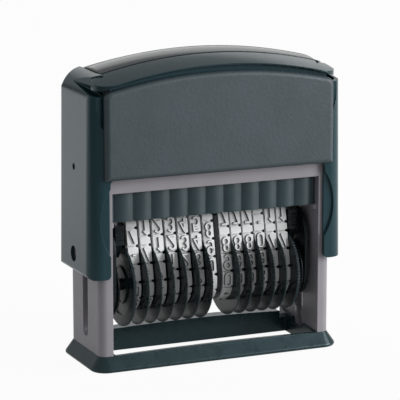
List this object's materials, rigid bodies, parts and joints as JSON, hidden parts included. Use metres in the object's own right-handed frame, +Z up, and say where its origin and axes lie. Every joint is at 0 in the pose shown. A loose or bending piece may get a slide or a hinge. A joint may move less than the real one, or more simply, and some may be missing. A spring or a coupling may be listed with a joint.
{
  "type": "self-inking numbering machine",
  "caption": "Self-inking hand numbering stamp: a sprung cap slides down a slotted frame and turns a row of number bands over from the ink pad to the paper.",
  "frame": {"origin": "on the desk, under the middle of the base ring", "axes": "+X to the right of someone looking at the front, +Y to the back, +Z up"},
  "size_m": [0.07, 0.0278, 0.0791],
  "materials": {
    "base_plastic": "fine-grained dark grey moulding",
    "frame_plastic": "satin warm grey moulding",
    "spring_steel": "drawn wire",
    "pad_plastic": "satin dark grey moulding",
    "ink_felt": "felt soaked in black ink",
    "cap_plastic": "satin grey moulding",
    "plate_plastic": "fine-textured grey moulding",
    "bezel_plastic": "polished grey moulding",
    "card": "plain index card",
    "window_plastic": "clear polished plastic",
    "bridge_plastic": "dark moulding",
    "unit_plastic": "dark grey moulding",
    "steel": "ground steel",
    "band_rubber": "pale moulded rubber",
    "wheel_plastic": "dark moulding with a fine-toothed rim"
  },
  "bodies": {
    "base": {"base_foot": "base_plastic", "inner_frame": "frame_plastic", "return_spring": "spring_steel"},
    "pad": {"ink_pad_tray": "pad_plastic", "ink_pad": "ink_felt"},
    "cap": {"cap_shell": "cap_plastic", "front_plate": "plate_plastic", "rear_plate": "plate_plastic", "index_bezel": "bezel_plastic", "index_card": "card"},
    "window": {"index_window": "window_plastic"},
    "print_unit": {"band_bridge": "bridge_plastic", "centre_divider": "unit_plastic", "wheel_shaft": "steel", "cheek_right": "unit_plastic", "cheek_left": "unit_plastic", "pivot_pin_right": "steel", "pivot_pin_left": "steel", "cam_pin_right": "steel", "cam_pin_left": "steel", "shaft_clip_right": "spring_steel", "shaft_clip_left": "spring_steel", "end_disc_right": "unit_plastic", "end_disc_left": "unit_plastic", "number_band_01": "band_rubber", "number_band_02": "band_rubber", "number_band_03": "band_rubber", "number_band_04": "band_rubber", "number_band_05": "band_rubber", "number_band_06": "band_rubber", "number_band_07": "band_rubber", "number_band_08": "band_rubber", "number_band_09": "band_rubber", "number_band_10": "band_rubber", "number_band_11": "band_rubber", "number_band_12": "band_rubber", "number_band_13": "band_rubber"},
    "wheel_01": {"setting_wheel_01": "wheel_plastic"},
    "wheel_02": {"setting_wheel_02": "wheel_plastic"},
    "wheel_03": {"setting_wheel_03": "wheel_plastic"},
    "wheel_04": {"setting_wheel_04": "wheel_plastic"},
    "wheel_05": {"setting_wheel_05": "wheel_plastic"},
    "wheel_06": {"setting_wheel_06": "wheel_plastic"},
    "wheel_07": {"setting_wheel_07": "wheel_plastic"},
    "wheel_08": {"setting_wheel_08": "wheel_plastic"},
    "wheel_09": {"setting_wheel_09": "wheel_plastic"},
    "wheel_10": {"setting_wheel_10": "wheel_plastic"},
    "wheel_11": {"setting_wheel_11": "wheel_plastic"},
    "wheel_12": {"setting_wheel_12": "wheel_plastic"},
    "wheel_13": {"setting_wheel_13": "wheel_plastic"}
  },
  "joints": [
    {"name": "cap_press", "type": "slide", "parent": "base", "child": "cap", "axis": [0, 0, -1], "range_m": [0, 0.02], "stiffness_N_per_m": 300, "springref_m": -0.02, "deforming": ["return_spring"]},
    {"name": "unit_flip", "type": "hinge", "parent": "cap", "child": "print_unit", "pos_m": [0, 0, 0.02867], "axis": [-1, 0, 0], "range_deg": [0, 180]},
    {"name": "pad_slide", "type": "slide", "parent": "base", "child": "pad", "axis": [0, 1, 0], "range_m": [-0.03, 0]},
    {"name": "window_lift", "type": "slide", "parent": "cap", "child": "window", "axis": [0, 0, 1], "range_m": [0, 0.01]},
    {"name": "wheel_01_turn", "type": "hinge", "parent": "print_unit", "child": "wheel_01", "pos_m": [-0.0206, 0, 0.0194], "axis": [1, 0, 0], "continuous": true},
    {"name": "wheel_02_turn", "type": "hinge", "parent": "print_unit", "child": "wheel_02", "pos_m": [-0.0171, 0, 0.0194], "axis": [1, 0, 0], "continuous": true},
    {"name": "wheel_03_turn", "type": "hinge", "parent": "print_unit", "child": "wheel_03", "pos_m": [-0.0136, 0, 0.0194], "axis": [1, 0, 0], "continuous": true},
    {"name": "wheel_04_turn", "type": "hinge", "parent": "print_unit", "child": "wheel_04", "pos_m": [-0.0101, 0, 0.0194], "axis": [1, 0, 0], "continuous": true},
    {"name": "wheel_05_turn", "type": "hinge", "parent": "print_unit", "child": "wheel_05", "pos_m": [-0.0066, 0, 0.0194], "axis": [1, 0, 0], "continuous": true},
    {"name": "wheel_06_turn", "type": "hinge", "parent": "print_unit", "child": "wheel_06", "pos_m": [-0.0031, 0, 0.0194], "axis": [1, 0, 0], "continuous": true},
    {"name": "wheel_07_turn", "type": "hinge", "parent": "print_unit", "child": "wheel_07", "pos_m": [0.0004, 0, 0.0194], "axis": [1, 0, 0], "continuous": true},
    {"name": "wheel_08_turn", "type": "hinge", "parent": "print_unit", "child": "wheel_08", "pos_m": [0.00484, 0, 0.0194], "axis": [1, 0, 0], "continuous": true},
    {"name": "wheel_09_turn", "type": "hinge", "parent": "print_unit", "child": "wheel_09", "pos_m": [0.00812, 0, 0.0194], "axis": [1, 0, 0], "continuous": true},
    {"name": "wheel_10_turn", "type": "hinge", "parent": "print_unit", "child": "wheel_10", "pos_m": [0.0114, 0, 0.0194], "axis": [1, 0, 0], "continuous": true},
    {"name": "wheel_11_turn", "type": "hinge", "parent": "print_unit", "child": "wheel_11", "pos_m": [0.01468, 0, 0.0194], "axis": [1, 0, 0], "continuous": true},
    {"name": "wheel_12_turn", "type": "hinge", "parent": "print_unit", "child": "wheel_12", "pos_m": [0.01796, 0, 0.0194], "axis": [1, 0, 0], "continuous": true},
    {"name": "wheel_13_turn", "type": "hinge", "parent": "print_unit", "child": "wheel_13", "pos_m": [0.02124, 0, 0.0194], "axis": [1, 0, 0], "continuous": true}
  ],
  "couplings": [
    {"joint": "unit_flip", "follows": "cap_press", "rad_per_m": 157.08}
  ]
}
